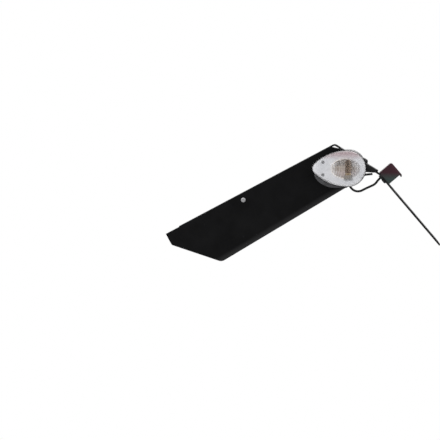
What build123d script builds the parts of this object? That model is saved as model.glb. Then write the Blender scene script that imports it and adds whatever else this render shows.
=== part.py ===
from build123d import *

import os
from math import atan2, cos, degrees, radians, sin, tan

# Tail tidy: a folded steel bracket under a motorbike's tail carries a moulded undertray,
# a plate bracket with its light, and two indicators on rubber stalks.
# X runs to the rear, Y to the right and Z up, in millimetres. The origin is the centre of
# the four bolt holes on the bracket's top plate, which rises to the rear.

# Slopes against level, in degrees
TOP_RISE = 28.0
NECK_FALL = 31.5
PLATE_FALL = 49.5
FLOOR_RISE = 31.0
FRONT_FLOOR_RISE = 18.4

# Least share of a face's normal along a direction for the face to count as facing that way
FACING = 0.3

# Folded sheet and its fit
SHEET = 2.5
BEND_R = 3.0
SHANK_PLAY = 0.05
HOLE_PLAY = 0.3
BUTTON_ROUND = 0.8
SOCKET_SHARE = 0.6

# Main bracket, along its top plate from the origin
BRACKET_W = 110.0
BRACKET_FRONT = -100.0
APEX_U = 146.0
FLANGE_H = 22.0
CHANNEL_END = 138.0
TONGUE_W = 64.0
TONGUE_L = 72.0
TONGUE_CORNER_R = 3.0
TONGUE_FLANGE_H = 16.0
TONGUE_FLANGE_FROM = 10.0
TONGUE_TAPER_L = 20.0
BOLT_SQUARE = 80.0
SUBFRAME_HOLE_R = 3.3
WIRING_SLOT_L = 34.0
WIRING_SLOT_W = 16.0
WIRING_SLOT_U = 84.0
EAR_REACH = 20.0
EAR_SHOULDER = 10.0
EAR_CORNER_R = 8.0

# Undertray
TRAY_WALL = 2.0
TRAY_FRONT = -120.7
TRAY_CORNER_U = -70.0
TRAY_DEPTH = 72.2
TRAY_CORNER_R = 10.0
TRAY_EDGE_R = 4.0
TRAY_TOP_DROP = 1.0
WALL_END = 158.0
WALL_REAR_H = 42.0
WALL_REAR_R = 10.0
FLOOR_L = 233.0
FLOOR_TONGUE_W = 58.0
FLOOR_LIP_L = 10.5
FLOOR_LIP_FALL = 25.0
FLOOR_LIP_R = 3.0

# Tray screws and rivet nuts
SCREW_DROP = 9.9
SCREW_U = -2.5
TRAY_SCREW_R = 2.0
TRAY_SCREW_HEAD_R = 3.6
TRAY_SCREW_HEAD_H = 2.1
TRAY_SCREW_L = 15.0
RIVNUT_R = 3.0
RIVNUT_HEAD_R = 4.8
RIVNUT_HEAD_T = 1.0
RIVNUT_L = 11.0

# Plate bracket
NECK_PAST_TONGUE = 5.0
LAP_L = 48.0
PLATE_W = 176.0
PLATE_H = 127.0
PLATE_CORNER_R = 12.0
SHOULDER_FROM = 6.0
SHOULDER_TO = 30.0
PLATE_SQUARE = 76.0
PLATE_HOLE_MARGIN = 15.0
PLATE_HOLE_R = 3.3

# Neck bolts
NECK_BOLT_R = 3.0
NECK_BOLT_EDGE = 6.2
NECK_HEAD_R = 5.25
NECK_HEAD_H = 3.3
NECK_WASHER_R = 6.0
NECK_WASHER_T = 1.2
NECK_NUT_R = 5.0
NECK_NUT_H = 6.0
BOLT_PROUD = 1.5

# Plate light, along the plate, across it and out from it
LIGHT_TOP = -1.8
LIGHT_L = 20.6
LIGHT_W = 52.0
LIGHT_OUT = 22.0
LIGHT_LIP_L = 3.4
LIGHT_LIP_T = 3.2
LIGHT_EDGE_R = 3.0
LIGHT_WALL = 2.0
LIGHT_LENS_T = 2.0
LIGHT_LENS_SEAT = 0.9
LIGHT_LENS_PLAY = 0.1
LIGHT_BOARD_T = 1.6
LIGHT_BOARD_MARGIN = 1.0
LIGHT_LED = 3.5
LIGHT_LED_T = 1.4
LIGHT_LED_PITCH = 14.0
LIGHT_LED_COUNT = 3
LIGHT_BOSS_R = 3.6
LIGHT_BOSS_H = 7.0
LIGHT_SCREW_PITCH = 38.0
LIGHT_SCREW_AT = 11.0
LIGHT_SCREW_R = 2.0
LIGHT_SCREW_HEAD_R = 3.8
LIGHT_SCREW_HEAD_H = 2.4
SPIGOT_AT = 4.6
SPIGOT_R = 3.4
SPIGOT_PROUD = 2.0

# Cable from the plate light into the tray floor, as route points in X and Z
CABLE_R = 1.6
CABLE_ROUTE = (
    (148.0, 12.1),
    (151.2, 5.9),
    (156.9, 1.2),
    (164.4, 0.5),
    (171.9, 4.5),
    (179.2, 7.9),
    (185.9, 10.9),
    (190.8, 18.0),
    (197.4, 23.6),
)
BEND_SHARE = 0.45
GROMMET_FLANGE_R = 6.0
GROMMET_NECK_R = 4.0
GROMMET_FLANGE_T = 1.5

# Indicator, about the middle of its egg
LAMP_U = 136.0
LAMP_W = -33.0
LAMP_Y = 105.0
EGG_L = 74.8
EGG_R = 25.0
NOSE_R = 10.0
LENS_WALL = 2.0
BODY_WALL = 2.0
LENS_SPLIT = 0.5
GASKET_T = 1.0
GASKET_INSET = 0.3
FLUTE_COUNT = 6
FLUTE_PITCH = 3.4
FLUTE_W = 1.2
FLUTE_H = 0.9
FLUTE_SINK = 0.6
FLUTE_CENTRE = -24.0
FLUTE_FIRST_R = 11.5
FLUTE_FIELD_L = 40.0
FLUTE_FIELD_H = 28.0
FLUTE_FIELD_X = 9.0

# Reflector and bulb
REFLECTOR_T = 1.2
REFLECTOR_PLAY = 0.3
BOWL_X = 10.0
BOWL_L = 42.0
BOWL_R = 13.5
BOWL_RISE = 4.5
LAMP_SCREW_X = -21.6
LAMP_SCREW_Z = 8.8
LAMP_SCREW_R = 1.25
LAMP_SCREW_HEAD_R = 2.2
LAMP_SCREW_HEAD_H = 1.6
LAMP_BOSS_R = 3.0
LAMP_BOSS_BORE_L = 3.0
LAMP_REST_X = 22.0
LAMP_REST_Z = 15.5
LAMP_REST_R = 2.5
BULB_X = 13.0
BULB_OUT = 6.0
BULB_R = 4.7
BULB_TOP = 12.0
BULB_FOOT = -6.0
BULB_BASE_R = 4.2
BULB_BASE_L = 6.0
HOLDER_R = 5.8
HOLDER_FLOOR = 4.0
HOLDER_LAP = 3.0
ARM_W = 8.0
ARM_T = 2.4
ARM_PLAY = 0.1

# Stalk, its stud and fastenings
STALK_BOSS_L = 30.0
STALK_BOSS_H = 22.0
BOSS_PROUD = 4.0
STUD_X = -5.0
STUD_Z = -5.0
PAD_L = 60.0
PAD_H = 45.0
PAD_T = 3.0
PAD_STEP = 4.0
STUD_R = 4.0
STUD_BORE_R = 2.0
STUD_GRIP = 9.0
STUD_PROUD = 2.0
STUD_WASHER_R = 9.0
STUD_WASHER_T = 1.6
STUD_NUT_R = 7.5
STUD_NUT_H = 6.5

# Where the folded faces lie: SIDE holds the profile, TOP the upper face of the top plate
u_dir = Vector(cos(radians(TOP_RISE)), 0, sin(radians(TOP_RISE)))
w_dir = Vector(-sin(radians(TOP_RISE)), 0, cos(radians(TOP_RISE)))
SIDE = Plane(origin=(0, 0, 0), x_dir=u_dir, z_dir=(0, -1, 0))
TOP = Plane(origin=(0, 0, 0), x_dir=u_dir, z_dir=w_dir)
OUTBOARD = (0, -1, 0)


def heading(angle):
    """Direction on SIDE of a line at an angle above level, to the rear."""
    turn = radians(angle - TOP_RISE)
    return Vector(cos(turn), sin(turn))


def on_side(point):
    """Place in space of a point on SIDE."""
    return SIDE.from_local_coords(Vector(point.X, point.Y, 0))


def discs(plane, spots, radius):
    """Circles of one radius at spots on a plane."""
    with BuildSketch(plane) as sketch:
        with Locations(*spots):
            Circle(radius)
    return sketch.sketch


def hexagons(plane, spots, half_flats):
    """Hexagons at spots on a plane, given by half the width across flats."""
    with BuildSketch(plane) as sketch:
        with Locations(*spots):
            RegularPolygon(half_flats, 6, major_radius=False)
    return sketch.sketch


apex = Vector(APEX_U, 0)
neck_dir = heading(-NECK_FALL)
neck_up = heading(90 - NECK_FALL)
plate_dir = heading(-PLATE_FALL)
plate_out = heading(90 - PLATE_FALL)
neck_l = TONGUE_L + NECK_PAST_TONGUE
plate_bend = apex + neck_dir * neck_l - neck_up * SHEET
lap_middle = apex + neck_dir * (TONGUE_L - LAP_L / 2)


def folded_plane(point, along, out):
    """Plane at a point on SIDE whose x runs along a fold's face and whose z points out of it."""
    return Plane(
        origin=on_side(point),
        x_dir=on_side(along),
        z_dir=on_side(out),
    )


NECK = folded_plane(lap_middle, neck_dir, neck_up)
PLATE = folded_plane(plate_bend, plate_dir, plate_out)

# Walls across the part, from the middle outwards
ear_out = BRACKET_W / 2
ear_in = ear_out - SHEET
tray_in = ear_out + RIVNUT_HEAD_T
tray_out = tray_in + TRAY_WALL

# Profile points of the undertray on SIDE
floor_dir = heading(FLOOR_RISE)
floor_up = heading(90 + FLOOR_RISE)
lip_dir = heading(FLOOR_RISE - FLOOR_LIP_FALL)
front_dir = heading(180 - FRONT_FLOOR_RISE)
tray_corner = Vector(TRAY_CORNER_U, -TRAY_DEPTH)
tray_front_low = tray_corner + front_dir * ((TRAY_FRONT - TRAY_CORNER_U) / front_dir.X)
wall_foot = tray_corner + floor_dir * ((WALL_END - TRAY_CORNER_U) / floor_dir.X)
wall_shoulder = wall_foot + Vector(0, WALL_REAR_H)
floor_end = tray_corner + floor_dir * FLOOR_L

# Where the cable meets the underside of the tray floor, and the grommet's frame there
route = [Vector(x, 0, z) for x, z in CABLE_ROUTE]
into_tray = (route[0] - route[1]).normalized()
floor_normal = on_side(floor_up)
end_above_floor = (route[0] - on_side(tray_corner)).dot(floor_normal)
grommet_at = route[0] - into_tray * (end_above_floor / into_tray.dot(floor_normal))
GROMMET = Plane(origin=grommet_at, x_dir=(0, 1, 0), z_dir=floor_normal)
grommet_spot = [(0, 0)]

# Middle of the left indicator's egg, with x to the rear, y up and z outboard
lamp_at = SIDE.from_local_coords(Vector(LAMP_U, LAMP_W, LAMP_Y))
LAMP = Plane(origin=lamp_at, x_dir=(1, 0, 0), z_dir=OUTBOARD)
egg_axis = Axis(lamp_at, (1, 0, 0))
stud_spot = (STUD_X, STUD_Z)
stud_on_side = SIDE.to_local_coords(LAMP.from_local_coords(Vector(STUD_X, STUD_Z, 0)))
boss_face = LAMP_Y - EGG_R - BOSS_PROUD
rim_plane = LAMP.offset(-LENS_SPLIT - GASKET_T)
lens_plane = LAMP.offset(-LENS_SPLIT)


def lamp_plane(distance):
    """Plane like LAMP at a distance left of the middle of the part."""
    return LAMP.offset(distance - LAMP_Y)


def ellipse_at(plane, spot, length, height):
    """Ellipse of a length and height at a spot on a plane."""
    with BuildSketch(plane) as sketch:
        with Locations(spot):
            Ellipse(length / 2, height / 2)
    return sketch.sketch


# The egg's outline: a nose arc and a tail arc joined by a flank arc that is tangent to both
nose_at = NOSE_R - EGG_L / 2
tail_at = EGG_L / 2 - EGG_R
flank_r = ((tail_at - nose_at) ** 2 + EGG_R**2 - NOSE_R**2) / (2 * (EGG_R - NOSE_R))
nose_turn = degrees(atan2(flank_r - EGG_R, nose_at - tail_at))


def egg_half(inset):
    """Upper half of the egg's outline about its long axis, pulled in all round by an inset."""
    with BuildSketch(LAMP) as sketch:
        with BuildLine():
            nose = CenterArc((nose_at, 0), NOSE_R - inset, 180, nose_turn - 180)
            CenterArc((tail_at, EGG_R - flank_r), flank_r - inset, nose_turn, 90 - nose_turn)
            tail = CenterArc((tail_at, 0), EGG_R - inset, 90, -90)
            Line(tail @ 1, nose @ 0)
        make_face()
    return sketch.sketch


# The plate bracket's neck fits between the bends of the tongue's flanges, and its bolts keep to its edges
lap_w = TONGUE_W - 2 * (SHEET + BEND_R + HOLE_PLAY)
bolt_pitch = lap_w - 2 * NECK_BOLT_EDGE

# Main bracket: a channel with two ears, and a tongue at its rear that folds down between tapered flanges
flange_run = TONGUE_L - TONGUE_FLANGE_FROM - TONGUE_CORNER_R
flange_from = apex + neck_dir * TONGUE_FLANGE_FROM
flange_end = flange_from + neck_dir * flange_run
TONGUE = Plane(origin=on_side(flange_from), x_dir=(0, 1, 0), z_dir=on_side(neck_dir))
CHANNEL = Plane(origin=on_side(Vector(BRACKET_FRONT, 0)), x_dir=(0, 1, 0), z_dir=u_dir)
with BuildPart() as main_bracket:
    with BuildSketch(CHANNEL):
        with BuildLine():
            FilletPolyline(
                (-ear_out, -FLANGE_H),
                (-ear_out, 0),
                (ear_out, 0),
                (ear_out, -FLANGE_H),
                radius=BEND_R + SHEET,
            )
            offset(amount=SHEET, side=Side.RIGHT)
        make_face()
    extrude(amount=CHANNEL_END - BRACKET_FRONT)
    with BuildSketch(SIDE):
        with BuildLine():
            FilletPolyline(
                (CHANNEL_END - TONGUE_W / 2, 0),
                apex,
                apex + neck_dir * TONGUE_L,
                radius=BEND_R + SHEET,
            )
            offset(amount=SHEET, side=Side.RIGHT)
        make_face()
    extrude(amount=TONGUE_W / 2, both=True)
    tongue_ends = main_bracket.edges().filter_by(Axis(NECK.origin, NECK.z_dir))
    fillet(tongue_ends.group_by(Axis(NECK.origin, NECK.x_dir))[-1], TONGUE_CORNER_R)
    with BuildSketch(TONGUE):
        with Locations((0, -SHEET / 2)):
            Rectangle(TONGUE_W, SHEET)
    extrude(amount=flange_run, mode=Mode.SUBTRACT)
    with BuildSketch(TONGUE):
        with BuildLine():
            FilletPolyline(
                (-TONGUE_W / 2, -TONGUE_FLANGE_H),
                (-TONGUE_W / 2, 0),
                (TONGUE_W / 2, 0),
                (TONGUE_W / 2, -TONGUE_FLANGE_H),
                radius=BEND_R + SHEET,
            )
            offset(amount=SHEET, side=Side.RIGHT)
        make_face()
    extrude(amount=flange_run)
    with BuildSketch(SIDE):
        with BuildLine():
            Polyline(
                flange_end - neck_dir * TONGUE_TAPER_L - neck_up * TONGUE_FLANGE_H,
                flange_end - neck_up * TONGUE_FLANGE_H,
                flange_end - neck_up * (BEND_R + SHEET),
                close=True,
            )
        make_face()
    extrude(amount=TONGUE_W / 2, both=True, mode=Mode.SUBTRACT)
    with BuildSketch(SIDE.offset(ear_in)) as ear:
        with BuildLine():
            Polyline(
                (stud_on_side.X - EAR_REACH, -BEND_R - SHEET),
                (CHANNEL_END, -BEND_R - SHEET),
                (stud_on_side.X + EAR_REACH, stud_on_side.Y + EAR_SHOULDER),
                (stud_on_side.X + EAR_REACH, stud_on_side.Y - EAR_REACH),
                (stud_on_side.X - EAR_REACH, stud_on_side.Y - EAR_REACH),
                close=True,
            )
        make_face()
        fillet(ear.vertices().sort_by(Axis.Y)[0:3], EAR_CORNER_R)
    extrude(amount=SHEET)
    mirror(about=Plane.XZ)
    with BuildSketch(TOP):
        with GridLocations(BOLT_SQUARE, BOLT_SQUARE, 2, 2):
            Circle(SUBFRAME_HOLE_R)
        with Locations((WIRING_SLOT_U, 0)):
            SlotOverall(WIRING_SLOT_L, WIRING_SLOT_W)
    extrude(amount=-SHEET, mode=Mode.SUBTRACT)
    with BuildSketch(NECK):
        with GridLocations(0, bolt_pitch, 1, 2):
            Circle(NECK_BOLT_R + HOLE_PLAY)
    extrude(amount=-SHEET, mode=Mode.SUBTRACT)
    screw_spots = [(SCREW_U, -SCREW_DROP)]
    rivnut_holes = discs(SIDE, screw_spots, RIVNUT_R + SHANK_PLAY)
    extrude(rivnut_holes, amount=ear_out, both=True, mode=Mode.SUBTRACT)
    stud_hole = discs(lamp_plane(0), [stud_spot], STUD_R + HOLE_PLAY)
    extrude(stud_hole, amount=ear_out, both=True, mode=Mode.SUBTRACT)

# Undertray: a trough shelled from its side profile, with a narrow floor tongue and lip
with BuildPart() as undertray:
    with BuildSketch(SIDE) as tray_side:
        with BuildLine():
            Polyline(
                (TRAY_FRONT, -TRAY_TOP_DROP),
                tray_front_low,
                tray_corner,
                wall_foot,
                wall_shoulder,
                (CHANNEL_END, -TRAY_TOP_DROP),
                close=True,
            )
        make_face()
        fillet(tray_side.vertices().sort_by(Axis.Y)[-3:].sort_by(Axis.X)[1:], WALL_REAR_R)
    extrude(amount=tray_out, both=True)
    across = undertray.edges().filter_by(Axis.Y)
    fillet(across.sort_by(Axis(on_side(tray_corner), w_dir))[0:1], TRAY_CORNER_R)
    floor_faces = undertray.faces().filter_by(lambda face: face.normal_at().dot(w_dir) < -FACING)
    rims = [edge for face in floor_faces for edge in face.edges() if abs(edge.center().Y) > tray_in]
    fillet(rims, TRAY_EDGE_R)
    front_end = undertray.faces().sort_by(Axis(TOP.origin, u_dir))[0]
    open_faces = undertray.faces().filter_by(lambda face: face.normal_at().dot(u_dir + w_dir) > FACING)
    offset(amount=-TRAY_WALL, openings=[front_end, *open_faces])
    with BuildSketch(SIDE):
        with BuildLine():
            FilletPolyline(
                wall_foot - floor_dir * TRAY_CORNER_R,
                floor_end,
                floor_end + lip_dir * FLOOR_LIP_L,
                radius=FLOOR_LIP_R,
            )
            offset(amount=TRAY_WALL, side=Side.LEFT)
        make_face()
    extrude(amount=FLOOR_TONGUE_W / 2, both=True)
    screw_holes = discs(SIDE, screw_spots, TRAY_SCREW_R + HOLE_PLAY)
    extrude(screw_holes, amount=tray_out, both=True, mode=Mode.SUBTRACT)
    extrude(stud_hole, amount=tray_out, both=True, mode=Mode.SUBTRACT)
    grommet_hole = discs(GROMMET, grommet_spot, GROMMET_NECK_R + SHANK_PLAY)
    extrude(grommet_hole, amount=TRAY_WALL, mode=Mode.SUBTRACT)

# Tray screws and the rivet nuts that they go into, in both flanges
SCREWS = SIDE.offset(tray_out)
RIVNUTS = SIDE.offset(tray_in)
with BuildPart() as tray_rivnuts:
    extrude(discs(RIVNUTS, screw_spots, RIVNUT_HEAD_R), amount=-RIVNUT_HEAD_T)
    extrude(discs(RIVNUTS, screw_spots, RIVNUT_R), amount=-RIVNUT_HEAD_T - RIVNUT_L)
    bore_l = RIVNUT_HEAD_T + RIVNUT_L
    extrude(discs(RIVNUTS, screw_spots, TRAY_SCREW_R), amount=-bore_l, mode=Mode.SUBTRACT)
    mirror(about=Plane.XZ)

with BuildPart() as tray_screws:
    extrude(discs(SCREWS, screw_spots, TRAY_SCREW_HEAD_R), amount=TRAY_SCREW_HEAD_H)
    crowns = tray_screws.faces().sort_by(Axis.Y).group_by(Axis.Y)[0].edges()
    fillet(crowns, TRAY_SCREW_HEAD_H * BUTTON_ROUND)
    sockets = hexagons(SCREWS.offset(TRAY_SCREW_HEAD_H), screw_spots, TRAY_SCREW_R * SOCKET_SHARE)
    extrude(sockets, amount=-TRAY_SCREW_HEAD_H * SOCKET_SHARE, mode=Mode.SUBTRACT)
    extrude(discs(SCREWS, screw_spots, TRAY_SCREW_R - SHANK_PLAY), amount=-TRAY_SCREW_L)
    mirror(about=Plane.XZ)

# Plate bracket: a neck flange between the tongue's flanges, folded to the flat that carries the plate
plate_row = PLATE_H - PLATE_HOLE_MARGIN - PLATE_SQUARE / 2
with BuildPart() as plate_bracket:
    with BuildSketch(SIDE):
        with BuildLine():
            FilletPolyline(
                plate_bend - neck_dir * (NECK_PAST_TONGUE + LAP_L),
                plate_bend,
                plate_bend + plate_dir * PLATE_H,
                radius=BEND_R + SHEET,
            )
            offset(amount=SHEET, side=Side.RIGHT)
        make_face()
    extrude(amount=PLATE_W / 2, both=True)
    with BuildSketch(PLATE) as outline:
        with BuildLine():
            Polyline(
                (-neck_l, 0),
                (-neck_l, lap_w / 2),
                (SHOULDER_FROM, lap_w / 2),
                (SHOULDER_TO, PLATE_W / 2),
                (PLATE_H, PLATE_W / 2),
                (PLATE_H, 0),
            )
            mirror(about=Plane.XZ)
        make_face()
        corners = outline.vertices().filter_by(lambda vertex: vertex.X > -neck_l / 2)
        fillet(corners.filter_by(lambda vertex: abs(vertex.Y) > SHEET), PLATE_CORNER_R)
    extrude(amount=neck_l, both=True, mode=Mode.INTERSECT)
    with BuildSketch(PLATE):
        with Locations((plate_row, 0)):
            with GridLocations(PLATE_SQUARE, PLATE_SQUARE, 2, 2):
                Circle(PLATE_HOLE_R)
        with Locations((LIGHT_SCREW_AT, 0)):
            with GridLocations(0, LIGHT_SCREW_PITCH, 1, 2):
                Circle(LIGHT_SCREW_R + HOLE_PLAY)
        with Locations((SPIGOT_AT, 0)):
            Circle(SPIGOT_R + HOLE_PLAY)
    extrude(amount=-SHEET, mode=Mode.SUBTRACT)
    with BuildSketch(NECK):
        with GridLocations(0, bolt_pitch, 1, 2):
            Circle(NECK_BOLT_R + HOLE_PLAY)
    extrude(amount=-2 * SHEET, mode=Mode.SUBTRACT)

# Bolts, washers and nuts that clamp the tongue to the neck flange
bolt_spots = [(0, -bolt_pitch / 2), (0, bolt_pitch / 2)]
bolt_depth = 2 * SHEET + NECK_NUT_H + BOLT_PROUD
with BuildPart() as neck_washers:
    extrude(discs(NECK, bolt_spots, NECK_WASHER_R), amount=NECK_WASHER_T)
    extrude(discs(NECK, bolt_spots, NECK_BOLT_R + HOLE_PLAY), amount=NECK_WASHER_T, mode=Mode.SUBTRACT)

with BuildPart() as neck_bolts:
    HEADS = NECK.offset(NECK_WASHER_T)
    extrude(discs(HEADS, bolt_spots, NECK_HEAD_R), amount=NECK_HEAD_H)
    crowns = neck_bolts.edges().group_by(Axis(NECK.origin, NECK.z_dir))[-1]
    fillet(crowns, NECK_HEAD_H * BUTTON_ROUND)
    sockets = hexagons(HEADS.offset(NECK_HEAD_H), bolt_spots, NECK_BOLT_R * SOCKET_SHARE)
    extrude(sockets, amount=-NECK_HEAD_H * SOCKET_SHARE, mode=Mode.SUBTRACT)
    extrude(discs(HEADS, bolt_spots, NECK_BOLT_R - SHANK_PLAY), amount=-NECK_WASHER_T - bolt_depth)

with BuildPart() as neck_nuts:
    NUTS = NECK.offset(-2 * SHEET)
    extrude(hexagons(NUTS, bolt_spots, NECK_NUT_R), amount=-NECK_NUT_H)
    extrude(discs(NUTS, bolt_spots, NECK_BOLT_R), amount=-NECK_NUT_H, mode=Mode.SUBTRACT)

# Plate light: a housing open downwards along the plate, with an outer lip and a spigot
light_end = LIGHT_TOP + LIGHT_L
pocket_out = LIGHT_OUT - LIGHT_LIP_T - LIGHT_WALL
pocket_middle = (LIGHT_WALL + pocket_out) / 2
LIGHT_MOUTH = Plane(
    origin=PLATE.from_local_coords(Vector(light_end, 0, 0)),
    x_dir=PLATE.y_dir,
    z_dir=PLATE.x_dir,
)
light_screw_spots = [(LIGHT_SCREW_AT, -LIGHT_SCREW_PITCH / 2), (LIGHT_SCREW_AT, LIGHT_SCREW_PITCH / 2)]


def pocket_block(plane, margin):
    """Rectangle of the light's pocket on a plane across it, widened all round by a margin."""
    width = LIGHT_W - 2 * LIGHT_WALL + 2 * margin
    with BuildSketch(plane) as sketch:
        with Locations((0, pocket_middle)):
            Rectangle(width, pocket_out - LIGHT_WALL + 2 * margin)
    return sketch.sketch


with BuildPart() as plate_light_housing:
    with BuildSketch(PLATE):
        with Locations((LIGHT_TOP + LIGHT_L / 2, 0)):
            Rectangle(LIGHT_L, LIGHT_W)
    extrude(amount=LIGHT_OUT)
    with BuildSketch(PLATE.offset(LIGHT_OUT - LIGHT_LIP_T)):
        with Locations((light_end + LIGHT_LIP_L / 2, 0)):
            Rectangle(LIGHT_LIP_L, LIGHT_W)
    extrude(amount=LIGHT_LIP_T)
    outer = plate_light_housing.edges().group_by(Axis(PLATE.origin, PLATE.z_dir))[-1]
    fillet(outer, LIGHT_EDGE_R)
    extrude(pocket_block(LIGHT_MOUTH, 0), amount=-(LIGHT_L - LIGHT_WALL), mode=Mode.SUBTRACT)
    extrude(pocket_block(LIGHT_MOUTH, LIGHT_LENS_SEAT), amount=-LIGHT_LENS_T, mode=Mode.SUBTRACT)
    extrude(discs(PLATE, light_screw_spots, LIGHT_BOSS_R), amount=LIGHT_BOSS_H)
    extrude(discs(PLATE, [(SPIGOT_AT, 0)], SPIGOT_R), amount=-SHEET - SPIGOT_PROUD)
    pilots = discs(PLATE, light_screw_spots, LIGHT_SCREW_R)
    extrude(pilots, amount=LIGHT_BOSS_H - LIGHT_WALL / 2, mode=Mode.SUBTRACT)
    lead_bore = discs(PLATE, [(SPIGOT_AT, 0)], CABLE_R + SHANK_PLAY)
    extrude(lead_bore, amount=-SHEET - SPIGOT_PROUD, mode=Mode.SUBTRACT)
    extrude(lead_bore, amount=LIGHT_WALL, mode=Mode.SUBTRACT)

with BuildPart() as plate_light_lens:
    extrude(pocket_block(LIGHT_MOUTH, LIGHT_LENS_SEAT - LIGHT_LENS_PLAY), amount=-LIGHT_LENS_T)

BOARD = LIGHT_MOUTH.offset(LIGHT_WALL - LIGHT_L)
with BuildPart() as plate_light_board:
    extrude(pocket_block(BOARD, -LIGHT_BOARD_MARGIN), amount=LIGHT_BOARD_T)

with BuildPart() as plate_light_leds:
    with BuildSketch(BOARD.offset(LIGHT_BOARD_T)):
        with Locations((0, pocket_middle)):
            with GridLocations(LIGHT_LED_PITCH, 0, LIGHT_LED_COUNT, 1):
                Rectangle(LIGHT_LED, LIGHT_LED)
    extrude(amount=LIGHT_LED_T)

with BuildPart() as plate_light_screws:
    SCREW_HEADS = PLATE.offset(-SHEET)
    extrude(discs(SCREW_HEADS, light_screw_spots, LIGHT_SCREW_HEAD_R), amount=-LIGHT_SCREW_HEAD_H)
    crowns = plate_light_screws.edges().group_by(Axis(PLATE.origin, PLATE.z_dir))[0]
    fillet(crowns, LIGHT_SCREW_HEAD_H * BUTTON_ROUND)
    shank_l = SHEET + LIGHT_BOSS_H - LIGHT_WALL
    extrude(discs(SCREW_HEADS, light_screw_spots, LIGHT_SCREW_R - SHANK_PLAY), amount=shank_l)

# Cable: runs and tangent arcs through the route, each arc as large as its runs allow
bend_radii = []
for before, corner, after in zip(route, route[1:], route[2:]):
    half_turn = radians((corner - before).get_angle(after - corner) / 2)
    shorter_run = min((corner - before).length, (after - corner).length)
    bend_radii.append(BEND_SHARE * shorter_run / tan(half_turn))
print("cable bend radii", [round(radius, 1) for radius in bend_radii])
with BuildPart() as light_cable:
    with BuildLine() as cable_line:
        FilletPolyline(*route, radius=bend_radii)
    with BuildSketch(Plane(origin=route[0], z_dir=route[1] - route[0])):
        Circle(CABLE_R)
    sweep()
print("cable length", round(cable_line.wires()[0].length, 1))

# Grommet in the tray floor round the cable
with BuildPart() as cable_grommet:
    extrude(discs(GROMMET, grommet_spot, GROMMET_FLANGE_R), amount=-GROMMET_FLANGE_T)
    extrude(discs(GROMMET, grommet_spot, GROMMET_NECK_R), amount=TRAY_WALL)
    inner_flange = discs(GROMMET.offset(TRAY_WALL), grommet_spot, GROMMET_FLANGE_R)
    extrude(inner_flange, amount=GROMMET_FLANGE_T)
    CABLE_END = Plane(origin=grommet_at, z_dir=into_tray)
    cable_bore = discs(CABLE_END, grommet_spot, CABLE_R + SHANK_PLAY)
    extrude(cable_bore, amount=2 * GROMMET_FLANGE_R, both=True, mode=Mode.SUBTRACT)

# Indicator body: the inboard part of the egg with a boss for the stalk and rests for the reflector
lamp_screw_spots = [(LAMP_SCREW_X, LAMP_SCREW_Z), (LAMP_SCREW_X, -LAMP_SCREW_Z)]
rest_spots = [(LAMP_REST_X, LAMP_REST_Z), (LAMP_REST_X, -LAMP_REST_Z)]
with BuildPart() as body_room:
    revolve(egg_half(BODY_WALL), axis=egg_axis)
    extrude(discs(rim_plane, lamp_screw_spots, LAMP_BOSS_R), amount=-EGG_R, mode=Mode.SUBTRACT)
    extrude(discs(rim_plane, rest_spots, LAMP_REST_R), amount=-EGG_R, mode=Mode.SUBTRACT)

with BuildPart() as indicator_body:
    revolve(egg_half(0), axis=egg_axis)
    split(bisect_by=rim_plane, keep=Keep.BOTTOM)
    extrude(ellipse_at(lamp_plane(boss_face), (0, 0), STALK_BOSS_L, STALK_BOSS_H), amount=EGG_R)
    add(body_room.part, mode=Mode.SUBTRACT)
    pilots = discs(rim_plane, lamp_screw_spots, LAMP_SCREW_R)
    extrude(pilots, amount=-LAMP_BOSS_BORE_L, mode=Mode.SUBTRACT)
    stud_seat = discs(lamp_plane(boss_face), [stud_spot], STUD_R)
    extrude(stud_seat, amount=EGG_R, mode=Mode.SUBTRACT)

with BuildPart() as indicator_gasket:
    revolve(egg_half(GASKET_INSET), axis=egg_axis)
    split(bisect_by=lens_plane, keep=Keep.BOTTOM)
    split(bisect_by=rim_plane, keep=Keep.TOP)
    revolve(egg_half(LENS_WALL), axis=egg_axis, mode=Mode.SUBTRACT)

# Flutes: concentric bars on the inside of the lens, within an oval field
with BuildPart() as flutes:
    revolve(egg_half(LENS_WALL - FLUTE_SINK), axis=egg_axis)
    revolve(egg_half(LENS_WALL + FLUTE_H), axis=egg_axis, mode=Mode.SUBTRACT)
    with BuildSketch(LAMP):
        with Locations((FLUTE_CENTRE, 0)):
            for step in reversed(range(FLUTE_COUNT)):
                middle = FLUTE_FIRST_R + step * FLUTE_PITCH
                Circle(middle + FLUTE_W / 2)
                Circle(middle - FLUTE_W / 2, mode=Mode.SUBTRACT)
        with Locations((FLUTE_FIELD_X, 0)):
            Ellipse(FLUTE_FIELD_L / 2, FLUTE_FIELD_H / 2, mode=Mode.INTERSECT)
    extrude(amount=EGG_R, mode=Mode.INTERSECT)

with BuildPart() as indicator_lens:
    revolve(egg_half(0), axis=egg_axis)
    split(bisect_by=lens_plane, keep=Keep.TOP)
    revolve(egg_half(LENS_WALL), axis=egg_axis, mode=Mode.SUBTRACT)
    add(flutes.part)

# Reflector: a plate inside the rim with an oval bowl behind the bulb
bowl_at = LAMP.from_local_coords(Vector(BOWL_X, 0, REFLECTOR_T - LENS_SPLIT - GASKET_T + BOWL_RISE))
BOWL = Plane(origin=bowl_at, x_dir=(1, 0, 0), z_dir=OUTBOARD)
bowl_axis = Axis(bowl_at, (1, 0, 0))


def bowl_half(margin):
    """Upper half of the bowl's oval about its long axis, grown all round by a margin."""
    with BuildSketch(BOWL) as sketch:
        Ellipse(BOWL_L / 2 + margin, BOWL_R + margin)
        with Locations((0, -BOWL_L)):
            Rectangle(2 * BOWL_L, 2 * BOWL_L, mode=Mode.SUBTRACT)
    return sketch.sketch


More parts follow.
